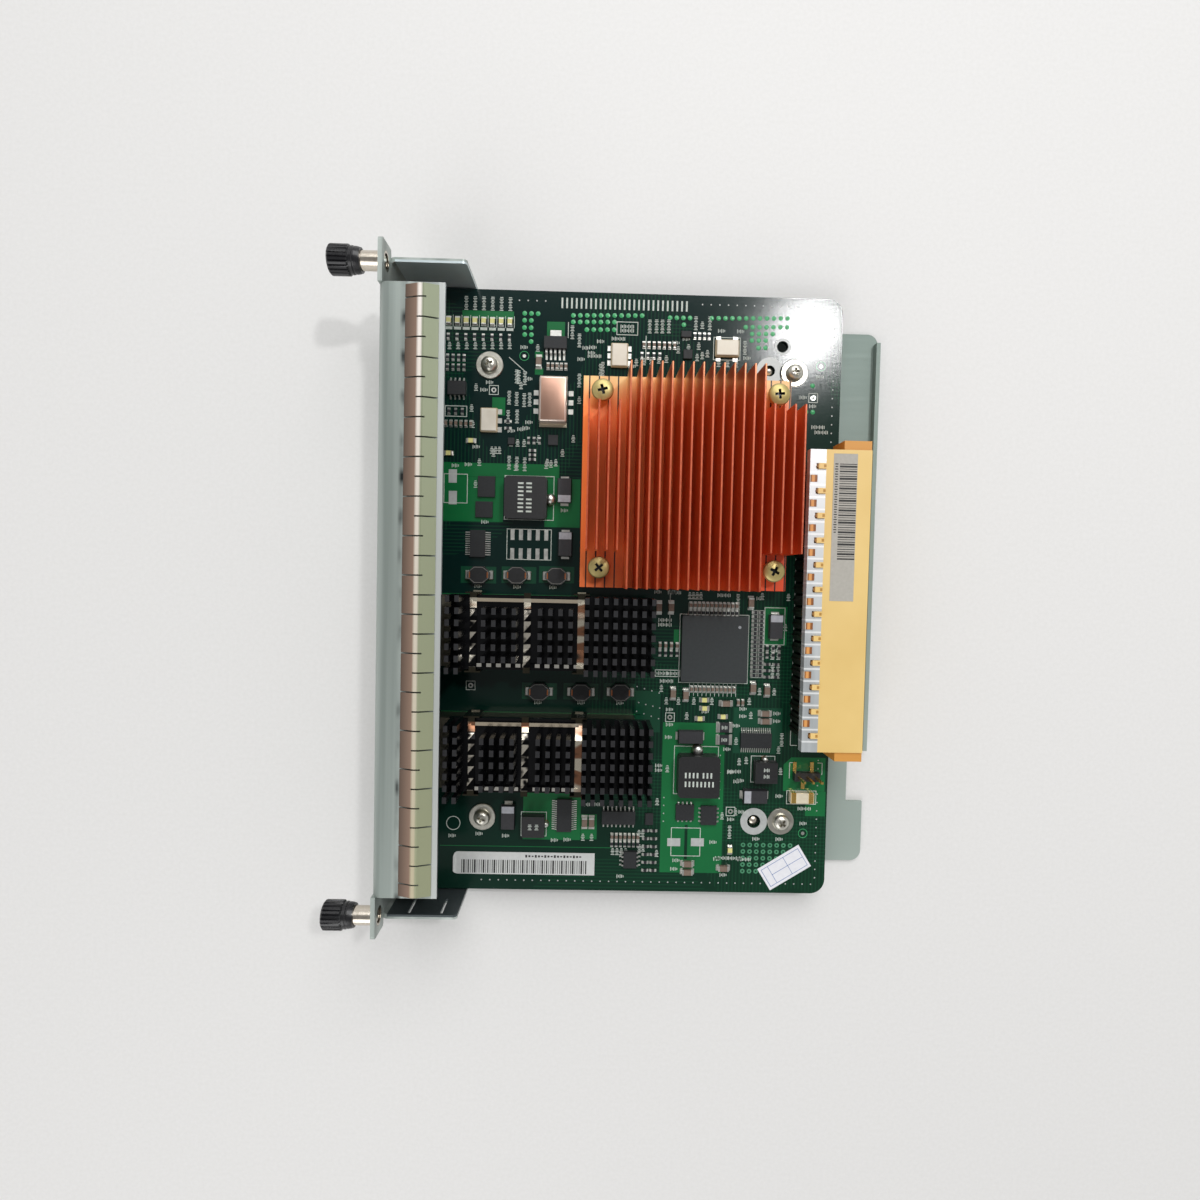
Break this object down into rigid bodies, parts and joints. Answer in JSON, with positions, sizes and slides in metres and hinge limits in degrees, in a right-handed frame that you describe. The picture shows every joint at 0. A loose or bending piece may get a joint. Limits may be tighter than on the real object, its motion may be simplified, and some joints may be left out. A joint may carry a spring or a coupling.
{
  "type": "interface daughter card",
  "caption": "Interface daughter card with optical module cages, a finned copper heat sink, a folded front panel with captive thumbscrews and a rear backplane connector on a base tray.",
  "frame": {"origin": "centre of the overall box on the underside of the base tray", "axes": "+X from the front panel to the backplane connector, +Y along the panel, +Z from the tray to the component side"},
  "size_m": [0.1556, 0.1836, 0.0357],
  "materials": {
    "zinc_sheet": "satin zinc plate",
    "tray_sheet": "satin zinc plate",
    "spring_sheet": "bright tin plate",
    "solder_mask": "dark green solder mask",
    "bright_steel": "nickel plate",
    "yellow_zinc": "yellow zinc plate",
    "knob_black": "satin black",
    "nickel": "bright nickel plate",
    "cage_steel": "bright tin plate",
    "black_anodised": "black anodised",
    "clip_steel": "bright spring steel",
    "copper": "plain copper",
    "pad_grey": "soft grey pad",
    "chip_black": "moulded black",
    "housing_tan": "moulded tan",
    "wafer_amber": "moulded amber",
    "contact_copper": "bare alloy",
    "stiffener_steel": "bright steel",
    "can_metal": "bright can",
    "ceramic_cream": "matt ceramic",
    "socket_black": "moulded black",
    "led_amber": "clear amber",
    "gold_pin": "gold flash",
    "fuse_white": "white ceramic"
  },
  "bodies": {
    "root": {"front_panel": "zinc_sheet", "base_tray": "tray_sheet", "tray_standoffs": "bright_steel", "finger_strip": "spring_sheet", "circuit_board": "solder_mask", "board_screws": "bright_steel", "copper_heat_sink": "copper", "heat_sink_posts": "bright_steel", "heat_sink_screws": "yellow_zinc", "heat_sink_springs": "bright_steel", "main_chip": "chip_black", "thermal_pad": "pad_grey", "connector_housing": "housing_tan", "connector_wafers": "wafer_amber", "connector_tails": "contact_copper", "connector_stiffener": "stiffener_steel", "phy_chip": "chip_black", "power_inductors": "chip_black", "chip_inductors": "chip_black", "choke_coils": "chip_black", "tantalum_capacitors": "chip_black", "power_diode": "chip_black", "oscillator_can": "can_metal", "oscillator_base": "ceramic_cream", "small_oscillators": "can_metal", "tab_regulator": "chip_black", "outline_chips": "chip_black", "thin_chips": "chip_black", "power_switches": "chip_black", "indicator_leds": "led_amber", "pin_header": "socket_black", "header_pins": "gold_pin", "board_fuse": "fuse_white", "upper_sleeve": "nickel", "upper_cage": "cage_steel", "upper_socket": "socket_black", "lower_sleeve": "nickel", "lower_cage": "cage_steel", "lower_socket": "socket_black"},
    "upper_thumbscrew_spring": {"upper_spring": "bright_steel"},
    "upper_thumbscrew": {"upper_knob": "knob_black", "upper_screw": "bright_steel"},
    "upper_riding_sink": {"upper_cage_sink": "black_anodised", "upper_clip": "clip_steel"},
    "lower_thumbscrew_spring": {"lower_spring": "bright_steel"},
    "lower_thumbscrew": {"lower_knob": "knob_black", "lower_screw": "bright_steel"},
    "lower_riding_sink": {"lower_cage_sink": "black_anodised", "lower_clip": "clip_steel"}
  },
  "joints": [
    {"name": "upper_thumbscrew_push", "type": "slide", "parent": "root", "child": "upper_thumbscrew_spring", "axis": [1, 0, 0], "range_m": [0, 0.0037], "stiffness_N_per_m": 150, "springref_m": -0.006, "deforming": ["upper_spring"]},
    {"name": "upper_thumbscrew_turn", "type": "hinge", "parent": "upper_thumbscrew_spring", "child": "upper_thumbscrew", "pos_m": [-0.07135, 0.087, 0.0298], "axis": [1, 0, 0], "continuous": true},
    {"name": "lower_thumbscrew_push", "type": "slide", "parent": "root", "child": "lower_thumbscrew_spring", "axis": [1, 0, 0], "range_m": [0, 0.0037], "stiffness_N_per_m": 150, "springref_m": -0.006, "deforming": ["lower_spring"]},
    {"name": "lower_thumbscrew_turn", "type": "hinge", "parent": "lower_thumbscrew_spring", "child": "lower_thumbscrew", "pos_m": [-0.07135, -0.087, 0.0298], "axis": [1, 0, 0], "continuous": true},
    {"name": "upper_sink_lift", "type": "slide", "parent": "root", "child": "upper_riding_sink", "axis": [0, 0, 1], "range_m": [0, 0.0005], "stiffness_N_per_m": 800, "springref_m": -0.01},
    {"name": "lower_sink_lift", "type": "slide", "parent": "root", "child": "lower_riding_sink", "axis": [0, 0, 1], "range_m": [0, 0.0005], "stiffness_N_per_m": 800, "springref_m": -0.01}
  ]
}
